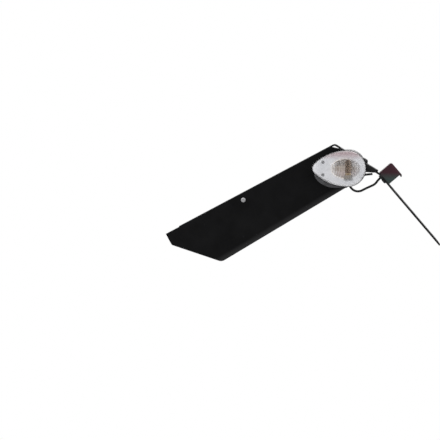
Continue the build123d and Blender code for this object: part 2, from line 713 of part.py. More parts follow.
arm_top = BULB_FOOT - BULB_BASE_L - HOLDER_FLOOR + ARM_T
with BuildPart() as indicator_reflector:
    revolve(egg_half(LENS_WALL + REFLECTOR_PLAY), axis=egg_axis)
    split(bisect_by=rim_plane, keep=Keep.TOP)
    split(bisect_by=rim_plane.offset(REFLECTOR_T), keep=Keep.BOTTOM)
    revolve(bowl_half(REFLECTOR_T), axis=bowl_axis)
    split(bisect_by=rim_plane.offset(REFLECTOR_T), keep=Keep.BOTTOM)
    revolve(bowl_half(0), axis=bowl_axis, mode=Mode.SUBTRACT)
    screw_ways = discs(rim_plane, lamp_screw_spots, LAMP_SCREW_R + SHANK_PLAY)
    extrude(screw_ways, amount=REFLECTOR_T, mode=Mode.SUBTRACT)
    with BuildSketch(rim_plane):
        with Locations((BULB_X, arm_top - ARM_T / 2)):
            Rectangle(ARM_W + 2 * HOLE_PLAY, ARM_T + 2 * HOLE_PLAY)
    extrude(amount=REFLECTOR_T, mode=Mode.SUBTRACT)

with BuildPart() as reflector_screws:
    LAMP_HEADS = rim_plane.offset(REFLECTOR_T)
    extrude(discs(LAMP_HEADS, lamp_screw_spots, LAMP_SCREW_HEAD_R), amount=LAMP_SCREW_HEAD_H)
    crowns = reflector_screws.edges().group_by(Axis(LAMP.origin, OUTBOARD))[-1]
    fillet(crowns, LAMP_SCREW_HEAD_H * BUTTON_ROUND)
    lamp_shank_l = REFLECTOR_T + LAMP_BOSS_BORE_L - HOLE_PLAY
    extrude(discs(LAMP_HEADS, lamp_screw_spots, LAMP_SCREW_R - SHANK_PLAY), amount=-lamp_shank_l)

# Bulb: upright glass on its base, in a holder whose arm passes the reflector to the body
bulb_at = LAMP.from_local_coords(Vector(BULB_X, 0, BULB_OUT))
BULB = Plane(origin=bulb_at, x_dir=(1, 0, 0), z_dir=OUTBOARD)
bulb_axis = Axis(bulb_at, (0, 0, 1))
UPRIGHT = Plane(origin=bulb_at, x_dir=(1, 0, 0), z_dir=(0, 0, 1))
bulb_spot = [(0, 0)]
with BuildPart() as bulb_glass:
    with BuildSketch(BULB):
        with BuildLine():
            Polyline(
                (0, BULB_TOP),
                (0, BULB_FOOT),
                (BULB_BASE_R, BULB_FOOT),
                (BULB_R, BULB_FOOT + BULB_R),
                (BULB_R, BULB_TOP - BULB_R),
            )
            RadiusArc((BULB_R, BULB_TOP - BULB_R), (0, BULB_TOP), -BULB_R)
        make_face()
    revolve(axis=bulb_axis)

with BuildPart() as bulb_base:
    extrude(discs(UPRIGHT.offset(BULB_FOOT), bulb_spot, BULB_BASE_R), amount=-BULB_BASE_L)

cup_floor = BULB_FOOT - BULB_BASE_L
with BuildPart() as bulb_holder:
    CUP = UPRIGHT.offset(cup_floor)
    extrude(discs(CUP, bulb_spot, HOLDER_R), amount=-HOLDER_FLOOR)
    extrude(discs(CUP, bulb_spot, HOLDER_R), amount=HOLDER_LAP)
    extrude(discs(CUP, bulb_spot, BULB_BASE_R + SHANK_PLAY), amount=HOLDER_LAP, mode=Mode.SUBTRACT)
    with BuildSketch(BULB):
        with Locations((0, arm_top - ARM_T / 2)):
            Rectangle(ARM_W, ARM_T)
    extrude(amount=-EGG_R)
    revolve(egg_half(BODY_WALL + ARM_PLAY), axis=egg_axis, mode=Mode.INTERSECT)

# Stalk: an oval rubber pad on the tray wall that narrows to the body's boss
with BuildPart() as indicator_stalk:
    extrude(ellipse_at(lamp_plane(tray_out), stud_spot, PAD_L, PAD_H), amount=PAD_T)
    pad_rim = indicator_stalk.edges().group_by(Axis(LAMP.origin, OUTBOARD))[-1]
    fillet(pad_rim, PAD_T / 2)
    with BuildSketch(lamp_plane(tray_out + PAD_T)):
        with Locations(stud_spot):
            Ellipse(PAD_L / 2 - PAD_STEP, PAD_H / 2 - PAD_STEP)
    with BuildSketch(lamp_plane(boss_face)):
        Ellipse(STALK_BOSS_L / 2, STALK_BOSS_H / 2)
    loft()
    stud_way = discs(lamp_plane(tray_out), [stud_spot], STUD_R + SHANK_PLAY)
    extrude(stud_way, amount=boss_face - tray_out, mode=Mode.SUBTRACT)

# Stud, spacer, washer and nut that hold the stalk to the ear
stud_in = ear_in - STUD_WASHER_T - STUD_NUT_H - STUD_PROUD
with BuildPart() as indicator_stud:
    STUD_END = lamp_plane(stud_in)
    extrude(discs(STUD_END, [stud_spot], STUD_R - SHANK_PLAY), amount=boss_face + STUD_GRIP - stud_in)
    extrude(discs(STUD_END, [stud_spot], STUD_BORE_R), amount=LAMP_Y, mode=Mode.SUBTRACT)

with BuildPart() as indicator_spacer:
    EAR_OUTER = lamp_plane(ear_out)
    extrude(discs(EAR_OUTER, [stud_spot], STUD_WASHER_R), amount=RIVNUT_HEAD_T)
    extrude(discs(EAR_OUTER, [stud_spot], STUD_R + HOLE_PLAY), amount=RIVNUT_HEAD_T, mode=Mode.SUBTRACT)

with BuildPart() as indicator_washer:
    EAR_INNER = lamp_plane(ear_in)
    extrude(discs(EAR_INNER, [stud_spot], STUD_WASHER_R), amount=-STUD_WASHER_T)
    extrude(discs(EAR_INNER, [stud_spot], STUD_R + HOLE_PLAY), amount=-STUD_WASHER_T, mode=Mode.SUBTRACT)

with BuildPart() as indicator_nut:
    STUD_NUT = lamp_plane(ear_in - STUD_WASHER_T)
    extrude(hexagons(STUD_NUT, [stud_spot], STUD_NUT_R), amount=-STUD_NUT_H)
    extrude(discs(STUD_NUT, [stud_spot], STUD_R), amount=-STUD_NUT_H, mode=Mode.SUBTRACT)

pieces = {
    "main_bracket": main_bracket,
    "undertray": undertray,
    "tray_rivnuts": tray_rivnuts,
    "tray_screws": tray_screws,
    "plate_bracket": plate_bracket,
    "neck_washers": neck_washers,
    "neck_bolts": neck_bolts,
    "neck_nuts": neck_nuts,
    "plate_light_housing": plate_light_housing,
    "plate_light_lens": plate_light_lens,
    "plate_light_board": plate_light_board,
    "plate_light_leds": plate_light_leds,
    "plate_light_screws": plate_light_screws,
    "light_cable": light_cable,
    "cable_grommet": cable_grommet,
}
left_pieces = {
    "indicator_body": indicator_body,
    "indicator_gasket": indicator_gasket,
    "indicator_lens": indicator_lens,
    "indicator_reflector": indicator_reflector,
    "reflector_screws": reflector_screws,
    "bulb_glass": bulb_glass,
    "bulb_base": bulb_base,
    "bulb_holder": bulb_holder,
    "indicator_stalk": indicator_stalk,
    "indicator_stud": indicator_stud,
    "indicator_spacer": indicator_spacer,
    "indicator_washer": indicator_washer,
    "indicator_nut": indicator_nut,
}
for name, piece in left_pieces.items():
    with BuildPart() as right_piece:
        mirror(piece.part, about=Plane.XZ)
    pieces[f"left_{name}"] = piece
    pieces[f"right_{name}"] = right_piece

os.makedirs("parts", exist_ok=True)
for name, piece in pieces.items():
    piece.part.label = name
    export_step(piece.part, f"parts/{name}.step")
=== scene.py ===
"""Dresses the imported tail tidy: its finishes, its cable and a plain studio."""

import logging
from dataclasses import dataclass
from enum import Enum
from functools import cache

import bpy
from mathutils import Euler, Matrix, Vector


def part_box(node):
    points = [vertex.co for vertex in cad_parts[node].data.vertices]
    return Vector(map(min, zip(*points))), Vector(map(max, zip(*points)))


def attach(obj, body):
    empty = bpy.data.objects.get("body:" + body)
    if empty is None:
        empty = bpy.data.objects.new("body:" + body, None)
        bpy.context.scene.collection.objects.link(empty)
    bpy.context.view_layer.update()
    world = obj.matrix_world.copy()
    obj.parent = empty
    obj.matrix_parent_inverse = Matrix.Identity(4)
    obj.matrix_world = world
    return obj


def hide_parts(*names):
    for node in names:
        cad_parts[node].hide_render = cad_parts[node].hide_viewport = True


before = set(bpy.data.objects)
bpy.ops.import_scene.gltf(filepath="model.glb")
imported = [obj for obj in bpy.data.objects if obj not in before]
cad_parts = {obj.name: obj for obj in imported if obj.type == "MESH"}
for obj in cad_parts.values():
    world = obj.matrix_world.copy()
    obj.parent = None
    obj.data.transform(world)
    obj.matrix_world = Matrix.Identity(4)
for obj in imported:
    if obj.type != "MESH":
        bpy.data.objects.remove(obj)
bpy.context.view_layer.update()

LOG = logging.getLogger("tail_tidy")
BODY = "root"
MM = 0.001

Color = tuple[float, float, float]
Span = tuple[float, float]
Triple = tuple[float, float, float]
Socket = bpy.types.NodeSocket

WHITE = (1.0, 1.0, 1.0, 1.0)

# Places of a Mix node's two colour inputs and of its colour output
MIX_TONES = (6, 7)
MIX_RESULT = 2


class Hand(Enum):
    """Side of the bike that an indicator is on."""

    LEFT = "left"
    RIGHT = "right"


class Shading:
    """A new Principled material, with short calls for the nodes that the finishes share."""

    def __init__(self, name: str) -> None:
        """Make the material.

        Args:
            name: name of the material.
        """
        self.material = bpy.data.materials.new(name)
        self.material.use_nodes = True
        self.nodes = self.material.node_tree.nodes
        self.links = self.material.node_tree.links
        self.shader = self.nodes["Principled BSDF"]
        self.place = self.nodes.new("ShaderNodeTexCoord").outputs["Object"]

    def fix(self, **values: float | Color) -> None:
        """Set sockets that are the same all over the surface.

        Args:
            values: value by socket name, with underscores for spaces.
        """
        for name, value in values.items():
            socket = self.shader.inputs[name.replace("_", " ")]
            socket.default_value = (*value, 1.0) if isinstance(value, tuple) else value

    def drive(self, name: str, source: Socket) -> None:
        """Link a pattern to one of the shader's sockets."""
        self.links.new(source, self.shader.inputs[name])

    def stretched(self, stretch: Triple) -> Socket:
        """Object coordinates stretched along the axes.

        Args:
            stretch: scale on each axis.

        Returns:
            The mapped coordinates.
        """
        mapping = self.nodes.new("ShaderNodeMapping")
        mapping.inputs["Scale"].default_value = stretch
        self.links.new(self.place, mapping.inputs["Vector"])
        return mapping.outputs["Vector"]

    def noise(self, size_mm: float, detail: float = 3.0, stretch: Triple = (1.0, 1.0, 1.0)) -> Socket:
        """Cloudy pattern.

        Args:
            size_mm: size of one cloud.
            detail: octaves of finer clouds.
            stretch: scale on each axis, for drawn-out clouds.

        Returns:
            The pattern's value, about 0.3 to 0.7.
        """
        node = self.nodes.new("ShaderNodeTexNoise")
        node.inputs["Scale"].default_value = 1.0 / (size_mm * MM)
        node.inputs["Detail"].default_value = detail
        self.links.new(self.stretched(stretch), node.inputs["Vector"])
        return node.outputs["Fac"]

    def cells(self, size_mm: float) -> Socket:
        """Pebbled pattern of rounded cells.

        Args:
            size_mm: size of one cell.

        Returns:
            Distance from each cell's middle, 0 to about 1.
        """
        node = self.nodes.new("ShaderNodeTexVoronoi")
        node.feature = "SMOOTH_F1"
        node.inputs["Scale"].default_value = 1.0 / (size_mm * MM)
        self.links.new(self.place, node.inputs["Vector"])
        return node.outputs["Distance"]

    def math(self, operation: str, *terms: Socket | float) -> Socket:
        """Work out a value from others.

        Args:
            operation: name of the Math node's operation.
            terms: sockets or plain numbers, in order.

        Returns:
            The result.
        """
        node = self.nodes.new("ShaderNodeMath")
        node.operation = operation
        for socket, term in zip(node.inputs, terms):
            if isinstance(term, float):
                socket.default_value = term
            else:
                self.links.new(term, socket)
        return node.outputs[0]

    def along(self, direction: Triple, start: float = 0.0) -> Socket:
        """Distance along a direction.

        Args:
            direction: unit direction.
            start: distance along it that counts as 0, in metres.

        Returns:
            The distance, in metres.
        """
        dot = self.nodes.new("ShaderNodeVectorMath")
        dot.operation = "DOT_PRODUCT"
        dot.inputs[1].default_value = direction
        self.links.new(self.place, dot.inputs[0])
        return self.math("SUBTRACT", dot.outputs["Value"], start)

    def blend(self, factor: Socket, first: Socket | Color, second: Socket | Color) -> Socket:
        """Mix two colours.

        Args:
            factor: 0 for the first colour and 1 for the second.
            first: first colour or its pattern.
            second: second colour or its pattern.

        Returns:
            The mixed colour.
        """
        node = self.nodes.new("ShaderNodeMix")
        node.data_type = "RGBA"
        self.links.new(factor, node.inputs["Factor"])
        for place, tone in zip(MIX_TONES, (first, second)):
            if isinstance(tone, tuple):
                node.inputs[place].default_value = (*tone, 1.0)
            else:
                self.links.new(tone, node.inputs[place])
        return node.outputs[MIX_RESULT]

    def between(self, source: Socket, low: float, high: float, span: Span) -> Socket:
        """Map a pattern to a range of values.

        Args:
            source: the pattern.
            low: value at the start of the span.
            high: value at its end.
            span: the pattern values where the change starts and ends.

        Returns:
            The mapped value.
        """
        node = self.nodes.new("ShaderNodeMapRange")
        ends = {"From Min": span[0], "From Max": span[1], "To Min": low, "To Max": high}
        for name, value in ends.items():
            node.inputs[name].default_value = value
        self.links.new(source, node.inputs["Value"])
        return node.outputs["Result"]

    def tint(self, source: Socket, dark: Color, light: Color, span: Span) -> Socket:
        """Map a pattern to a blend of two tones.

        Args:
            source: the pattern.
            dark: tone at the start of the span.
            light: tone at its end.
            span: the pattern values where the change starts and ends.

        Returns:
            The colour.
        """
        ramp = self.nodes.new("ShaderNodeValToRGB")
        for element, at, tone in zip(ramp.color_ramp.elements, span, (dark, light)):
            element.position = at
            element.color = (*tone, 1.0)
        self.links.new(source, ramp.inputs["Fac"])
        return ramp.outputs["Color"]

    def bump(self, source: Socket, depth_mm: float, under: Socket | None = None) -> Socket:
        """Raise a pattern as a relief.

        Args:
            source: the pattern.
            depth_mm: height of the relief.
            under: normal of a coarser relief that this one lies on.

        Returns:
            The normal.
        """
        node = self.nodes.new("ShaderNodeBump")
        node.inputs["Distance"].default_value = depth_mm * MM
        self.links.new(source, node.inputs["Height"])
        if under is not None:
            self.links.new(under, node.inputs["Normal"])
        return node.outputs["Normal"]


# Values of a cloudy pattern where a finish is all its first tone and all its second
PATCH_SPAN: Span = (0.35, 0.68)


@dataclass(frozen=True)
class PaintedLightBand:
    """Painted light at one end of a moulding: a second tone, which fades into the moulding's own tone.

    Attributes:
        tone: the second tone, the colour of the painted light.
        direction: unit direction from the second tone to the moulding's own.
        start: distance along the direction where the fade starts, in metres.
        fade: length of the fade, in metres.
    """

    tone: Color
    direction: Triple
    start: float
    fade: float


@dataclass(frozen=True)
class Moulded:
    """Plastic, rubber or powder coat: two close tones in soft patches under a fine pebbled grain, and on
    some a second tone of painted light at one end.
    """

    name: str
    dark: Color
    light: Color
    rough: Span
    grain_mm: float
    grain_depth_mm: float
    patch_mm: float
    wave_depth_mm: float = 0.05
    specular: float = 0.5
    # painted light at one end of the moulding, if it has any
    painted_light_band: PaintedLightBand | None = None

    @cache
    def material(self) -> bpy.types.Material:
        """Make the finish's material, once.

        Returns:
            The material.
        """
        shading = Shading(self.name)
        patches = shading.noise(self.patch_mm, detail=5.0)
        waves = shading.bump(shading.noise(self.patch_mm / 2, detail=1.0), self.wave_depth_mm)
        grain = shading.bump(shading.cells(self.grain_mm), self.grain_depth_mm, under=waves)
        tone = shading.tint(patches, self.dark, self.light, PATCH_SPAN)
        # the painted light fades in over one end
        if self.painted_light_band:
            past = shading.along(self.painted_light_band.direction, self.painted_light_band.start)
            share = shading.between(past, 1.0, 0.0, (0.0, self.painted_light_band.fade))
            tone = shading.blend(share, tone, self.painted_light_band.tone)
        shading.fix(Specular_IOR_Level=self.specular)
        shading.drive("Base Color", tone)
        shading.drive("Roughness", shading.between(patches, *self.rough, PATCH_SPAN))
        shading.drive("Normal", grain)
        return shading.material


@dataclass(frozen=True)
class Plated:
    """Plated metal: fine drawn marks, and duller patches where the plating has clouded."""

    name: str
    dark: Color
    light: Color
    rough: Span
    mark_mm: float
    drawn: Triple
    mark_depth_mm: float
    patch_mm: float

    @cache
    def material(self) -> bpy.types.Material:
        """Make the finish's material, once.

        Returns:
            The material.
        """
        shading = Shading(self.name)
        clouds = shading.noise(self.patch_mm, detail=4.0)
        marks = shading.noise(self.mark_mm, detail=2.0, stretch=self.drawn)
        shading.fix(Metallic=1.0)
        shading.drive("Base Color", shading.tint(clouds, self.dark, self.light, PATCH_SPAN))
        shading.drive("Roughness", shading.between(marks, *self.rough, PATCH_SPAN))
        shading.drive("Normal", shading.bump(marks, self.mark_depth_mm))
        return shading.material


@dataclass(frozen=True)
class Clear:
    """Clear plastic or glass with a faint tint, flow lines and a haze of fine scratches."""

    name: str
    dark: Color
    light: Color
    rough: Span
    flow_mm: float
    flow_depth_mm: float
    ior: float = 1.49

    @cache
    def material(self) -> bpy.types.Material:
        """Make the finish's material, once.

        Returns:
            The material.
        """
        shading = Shading(self.name)
        flow = shading.noise(self.flow_mm, detail=2.0)
        shading.fix(Transmission_Weight=1.0, IOR=self.ior)
        shading.drive("Base Color", shading.tint(flow, self.dark, self.light, PATCH_SPAN))
        shading.drive("Roughness", shading.between(flow, *self.rough, PATCH_SPAN))
        shading.drive("Normal", shading.bump(flow, self.flow_depth_mm))
        return shading.material


@dataclass(frozen=True)
class FlutedLens:
    """Clear lens whose oval field has concentric bars on one side of the bulb and prisms on the other,
    both drawn as painted highlights.

    Attributes:
        middle: X and Z of the lens's middle, in metres.
        rim_at: distance of the rim from the bike's middle plane, in metres.
        rim: tone of the frosted rim.
        crest_reflection_and_shade: painted reddish reflection and painted shade along the top of the lens.
        clear: tone of the rest outside the field.
        field: tone between the bars.
        behind: painted shade between the prisms, behind the bulb.
    """

    name: str
    middle: Span
    rim_at: float
    rim: Color = (0.93, 0.93, 0.94)
    # painted reddish reflection and painted shade along the top of the lens
    crest_reflection_and_shade: Color = (0.68, 0.6, 0.615)
    clear: Color = (0.81, 0.815, 0.83)
    field: Color = (0.83, 0.78, 0.73)
    # painted shade behind the bulb
    behind: Color = (0.6, 0.585, 0.575)
    # painted highlights on the bars and on the prisms
    bar_highlight: Color = (1.0, 0.985, 0.96)
    prism_highlight: Color = (0.95, 0.94, 0.935)
    rough: Span = (0.02, 0.06)
    rim_rough: float = 0.55
    ior: float = 1.12
    flow_mm: float = 9.0
    flow_depth_mm: float = 0.05
    rim_fade: Span = (4.0 * MM, 12.0 * MM)
    crest_reflection_and_shade_fade: Span = (13.0 * MM, 20.0 * MM)
    flute_centre: float = -24.0 * MM
    flute_first: float = 11.5 * MM
    flute_pitch: float = 3.4 * MM
    flute_share: Span = (0.19, 0.3)
    field_middle: float = 9.0 * MM
    field_half: Span = (20.0 * MM, 14.0 * MM)
    field_edge: Span = (0.9, 1.0)
    bulb_from: float = 4.0 * MM
    prism_from: float = 16.0 * MM
    prism_pitch: float = 2.8 * MM
    prism_share: Span = (0.2, 0.34)

    def stripes(self, shading: Shading, along: Socket, pitch: float, share: Span) -> Socket:
        """Soft stripes across a distance.

        Args:
            shading: material to add to.
            along: the distance.
            pitch: distance from one stripe to the next.
            share: shares of the pitch, from a stripe's middle, where it starts to fade and has gone.

        Returns:
            1 on a stripe and 0 between them.
        """
        wave = shading.math("PINGPONG", shading.math("DIVIDE", along, pitch), 0.5)
        return shading.between(wave, 1.0, 0.0, share)

    def in_field(self, shading: Shading, x: Socket, z: Socket) -> Socket:
        """1 inside the lens's oval field and 0 outside it.

        Args:
            shading: material to add to.
            x: distance to the rear of the lens's middle.
            z: distance above it.

        Returns:
            The mask.
        """
        across = shading.math("DIVIDE", shading.math("SUBTRACT", x, self.field_middle), self.field_half[0])
        up = shading.math("DIVIDE", z, self.field_half[1])
        reach = shading.math("ADD", shading.math("POWER", across, 2.0), shading.math("POWER", up, 2.0))
        return shading.between(reach, 1.0, 0.0, self.field_edge)

    def bars(self, shading: Shading, x: Socket, z: Socket) -> Socket:
        """1 on the concentric bars in front of the bulb.

        Args:
            shading: material to add to.
            x: distance to the rear of the lens's middle.
            z: distance above it.

        Returns:
            The mask.
        """
        run = shading.math("POWER", shading.math("SUBTRACT", x, self.flute_centre), 2.0)
        radius = shading.math("SQRT", shading.math("ADD", run, shading.math("POWER", z, 2.0)))
        past_first = shading.math("SUBTRACT", radius, self.flute_first)
        rings = self.stripes(shading, past_first, self.flute_pitch, self.flute_share)
        return shading.math("MULTIPLY", rings, shading.math("LESS_THAN", x, self.bulb_from))

    def prisms(self, shading: Shading, x: Socket, z: Socket) -> Socket:
        """1 on the grid of prisms behind the bulb.

        Args:
            shading: material to add to.
            x: distance to the rear of the lens's middle.
            z: distance above it.

        Returns:
            The mask.
        """
        columns = self.stripes(shading, x, self.prism_pitch, self.prism_share)
        rows = self.stripes(shading, z, self.prism_pitch, self.prism_share)
        return shading.math("MULTIPLY", columns, rows)

    @cache
    def material(self) -> bpy.types.Material:
        """Make the finish's material, once.

        Returns:
            The material.
        """
        shading = Shading(self.name)
        x = shading.along((1.0, 0.0, 0.0), self.middle[0])
        z = shading.along((0.0, 0.0, 1.0), self.middle[1])
        outboard = shading.math("ABSOLUTE", shading.along((0.0, 1.0, 0.0)))
        past_rim = shading.math("SUBTRACT", outboard, self.rim_at)
        field = self.in_field(shading, x, z)
        bars = shading.math("MULTIPLY", self.bars(shading, x, z), field)
        behind = shading.math("MULTIPLY", shading.math("GREATER_THAN", x, self.prism_from), field)
        prisms = shading.math("MULTIPLY", self.prisms(shading, x, z), behind)
        rim = shading.between(past_rim, 1.0, 0.0, self.rim_fade)
        # the painted reflection and shade fade in towards the top of the lens
        crest_reflection_and_shade = shading.between(z, 0.0, 1.0, self.crest_reflection_and_shade_fade)
        tone = shading.blend(rim, self.clear, self.rim)
        # layers over the clear tone and frosted rim: painted reflection and shade along the top, the
        # field's own tone, painted shade behind the bulb, painted highlights on bars and prisms
        for mask, layer in (
            (crest_reflection_and_shade, self.crest_reflection_and_shade),
            (field, self.field),
            (behind, self.behind),
            (bars, self.bar_highlight),
            (prisms, self.prism_highlight),
        ):
            tone = shading.blend(mask, tone, layer)
        flow = shading.noise(self.flow_mm, detail=3.0)
        haze = shading.between(flow, *self.rough, PATCH_SPAN)
        frost = shading.math("MULTIPLY", rim, self.rim_rough)
        shading.fix(Transmission_Weight=1.0, IOR=self.ior)
        shading.drive("Base Color", tone)
        shading.drive("Roughness", shading.math("MAXIMUM", haze, frost))
        shading.drive("Normal", shading.bump(flow, self.flow_depth_mm))
        return shading.material


# Direction square to the tray's sloping floor, into the tray
FLOOR_UP: Triple = (-0.515, 0.0, 0.857)

TRAY_PLASTIC = Moulded(
    name="tray_plastic",
    dark=(0.0028, 0.0028, 0.003),
    light=(0.0052, 0.0052, 0.0056),
    rough=(0.4, 0.58),
    grain_mm=0.7,
    grain_depth_mm=0.02,
    patch_mm=28.0,
    specular=0.05,
    # painted highlight along the bend at the bottom edge of the tray
    painted_light_band=PaintedLightBand(tone=(0.022, 0.022, 0.023), direction=FLOOR_UP, start=-67.0 * MM, fade=7.0 * MM),
)
POWDER_COAT = Moulded(
    name="powder_coat",
    dark=(0.0045, 0.0045, 0.0047),
    light=(0.0075, 0.0075, 0.0079),
    rough=(0.38, 0.5),
    grain_mm=1.1,
    grain_depth_mm=0.025,
    patch_mm=22.0,
    specular=0.12,
)
# Black plastic whose reddish tones are a painted reflection, with a painted greenish reflection over its
# lower part
HOUSING_PLASTIC_AND_REFLECTION = Moulded(
    name="housing_plastic_and_painted_reflection",
    dark=(0.03, 0.009, 0.014),
    light=(0.044, 0.013, 0.02),
    rough=(0.4, 0.55),
    grain_mm=0.5,
    grain_depth_mm=0.012,
    patch_mm=12.0,
    specular=0.15,
    # painted greenish reflection below 19 mm, gone by 28 mm
    painted_light_band=PaintedLightBand(tone=(0.042, 0.06, 0.057), direction=(0.0, 0.0, 1.0), start=19.0 * MM, fade=9.0 * MM),
)
BODY_PLASTIC = Moulded(
    name="indicator_body_plastic",
    dark=(0.02, 0.02, 0.022),
    light=(0.04, 0.041, 0.044),
    rough=(0.35, 0.5),
    grain_mm=0.5,
    grain_depth_mm=0.012,
    patch_mm=12.0,
    specular=0.35,
)
RUBBER = Moulded(
    name="rubber",
    dark=(0.012, 0.012, 0.013),
    light=(0.02, 0.02, 0.021),
    rough=(0.62, 0.8),
    grain_mm=0.6,
    grain_depth_mm=0.03,
    patch_mm=10.0,
    specular=0.3,
)
STALK_RUBBER = Moulded(
    name="stalk_rubber",
    dark=(0.045, 0.045, 0.048),
    light=(0.075, 0.075, 0.08),
    rough=(0.55, 0.75),
    grain_mm=0.6,
    grain_depth_mm=0.03,
    patch_mm=10.0,
    specular=0.3,
)
SHEATH = Moulded(
    name="cable_sheath",
    dark=(0.008, 0.008, 0.008),
    light=(0.014, 0.014, 0.0145),
    rough=(0.45, 0.6),
    grain_mm=0.4,
    grain_depth_mm=0.01,
    patch_mm=6.0,
    specular=0.35,
)
SOLDER_MASK = Moulded(
    name="solder_mask",
    dark=(0.012, 0.1, 0.03),
    light=(0.02, 0.16, 0.05),
    rough=(0.3, 0.45),
    grain_mm=1.6,
    grain_depth_mm=0.03,
    patch_mm=3.0,
)
LED_PHOSPHOR = Moulded(
    name="led_phosphor",
    dark=(0.78, 0.62, 0.16),
    light=(0.86, 0.76, 0.3),
    rough=(0.3, 0.4),
    grain_mm=0.3,
    grain_depth_mm=0.01,
    patch_mm=1.5,
)
HOLDER_PLASTIC = Moulded(
    name="holder_plastic",
    dark=(0.34, 0.335, 0.33),
    light=(0.44, 0.435, 0.43),
    rough=(0.5, 0.65),
    grain_mm=0.5,
    grain_depth_mm=0.015,
    patch_mm=6.0,
)
STEEL = Plated(
    name="dull_steel",
    dark=(0.24, 0.24, 0.245),
    light=(0.36, 0.36, 0.365),
    rough=(0.3, 0.45),
    mark_mm=0.5,
    drawn=(1.0, 6.0, 1.0),
    mark_depth_mm=0.01,
    patch_mm=3.0,
)
ZINC = Plated(
    name="bright_zinc",
    dark=(0.5, 0.5, 0.51),
    light=(0.66, 0.66, 0.67),
    rough=(0.22, 0.42),
    mark_mm=0.5,
    drawn=(1.0, 6.0, 1.0),
    mark_depth_mm=0.01,
    patch_mm=4.0,
)
BLACK_OXIDE = Plated(
    name="black_oxide",
    dark=(0.02, 0.02, 0.021),
    light=(0.045, 0.045, 0.047),
    rough=(0.3, 0.48),
    mark_mm=0.4,
    drawn=(1.0, 6.0, 1.0),
    mark_depth_mm=0.01,
    patch_mm=3.0,
)
BASE_METAL = Plated(
    name="bulb_base_metal",
    dark=(0.36, 0.3, 0.22),
    light=(0.5, 0.43, 0.33),
    rough=(0.25, 0.4),
    mark_mm=0.4,
    drawn=(1.0, 1.0, 6.0),
    mark_depth_mm=0.008,
    patch_mm=3.0,
)
METALLISED = Plated(
    name="metallised_reflector",
    dark=(0.88, 0.88, 0.89),
    light=(0.97, 0.97, 0.98),
    rough=(0.3, 0.46),
    mark_mm=6.0,
    drawn=(1.0, 1.0, 1.0),
    mark_depth_mm=0.15,
    patch_mm=9.0,
)
WINDOW_PLASTIC = Clear(
    name="light_window_plastic",
    dark=(0.93, 0.94, 0.94),
    light=(0.97, 0.975, 0.975),
    rough=(0.04, 0.12),
    flow_mm=1.5,
    flow_depth_mm=0.06,
)
SMOKED_GLASS = Clear(
    name="smoked_glass",
    dark=(0.25, 0.2, 0.165),
    light=(0.36, 0.3, 0.25),
    rough=(0.02, 0.06),
    flow_mm=5.0,
    flow_depth_mm=0.03,
)

Finish = Moulded | Plated | Clear | FlutedLens


def dress_nodes(finish: Finish, *names: str) -> None:
    """Give CAD nodes a finish.

    Args:
        finish: the finish.
        names: names of the nodes.
    """
    for name in names:
        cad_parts[name].material_slots[0].material = finish.material()
        LOG.info("%s dressed in %s", name, finish.name)


@dataclass
class Brackets:
    """Folded main bracket and plate bracket, with the bolts that join them."""

    def dress(self) -> None:
        """Give the brackets their coat and the bolts their plating."""
        dress_nodes(POWDER_COAT, "main_bracket", "plate_bracket")
        dress_nodes(BLACK_OXIDE, "neck_bolts", "neck_washers")
        dress_nodes(ZINC, "neck_nuts")


@dataclass
class Undertray:
    """Moulded trough with its screws and rivet nuts."""

    def dress(self) -> None:
        """Give the trough its grain and the fastenings their plating."""
        dress_nodes(TRAY_PLASTIC, "undertray")
        dress_nodes(STEEL, "tray_screws", "tray_rivnuts")


@dataclass
class PlateLight:
    """Plate light with its window, board and the short cable that goes into the tray.

    Attributes:
        cable_radius: radius of the cable's sheath, in metres.
        cable_length: length of the cable, in metres; not used.
        cable_facets: how finely the sheath is rounded.
        cable_steps: steps of the sheath between two route points.
        cable_route: X and Z of the route's points, in millimetres.
    """

    cable_radius: float = 1.6 * MM
    cable_length: float = 62.4 * MM
    cable_facets: int = 6
    cable_steps: int = 16
    cable_route: tuple[Span, ...] = (
        (148.0, 12.1),
        (151.2, 5.9),
        (156.9, 1.2),
        (164.4, 0.5),
        (171.9, 4.5),
        (179.2, 7.9),
        (185.9, 10.9),
        (190.8, 18.0),
        (197.4, 23.6),
    )

    def build(self) -> None:
        """Lay the cable as one smooth spline on the route's points."""
        curve = bpy.data.curves.new("light_cable_sheath", "CURVE")
        curve.dimensions = "3D"
        curve.bevel_depth = self.cable_radius
        curve.bevel_resolution = self.cable_facets
        curve.resolution_u = self.cable_steps
        curve.use_fill_caps = True
        spline = curve.splines.new("NURBS")
        spline.points.add(len(self.cable_route) - 1)
        for point, (x, z) in zip(spline.points, self.cable_route):
            point.co = (x * MM, 0.0, z * MM, 1.0)
        spline.order_u = 3
        spline.use_endpoint_u = True
        cable = bpy.data.objects.new("light_cable_sheath", curve)
        bpy.context.scene.collection.objects.link(cable)
        curve.materials.append(SHEATH.material())
        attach(cable, BODY)
        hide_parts("light_cable")
        LOG.info("light_cable_sheath laid on %d points", len(self.cable_route))

    def dress(self) -> None:
        """Give the light's pieces their plastics, plating and board coat."""
        dress_nodes(HOUSING_PLASTIC_AND_REFLECTION, "plate_light_housing")
        dress_nodes(WINDOW_PLASTIC, "plate_light_lens")
        dress_nodes(SOLDER_MASK, "plate_light_board")
        dress_nodes(LED_PHOSPHOR, "plate_light_leds")
        dress_nodes(BLACK_OXIDE, "plate_light_screws")
        dress_nodes(RUBBER, "cable_grommet")


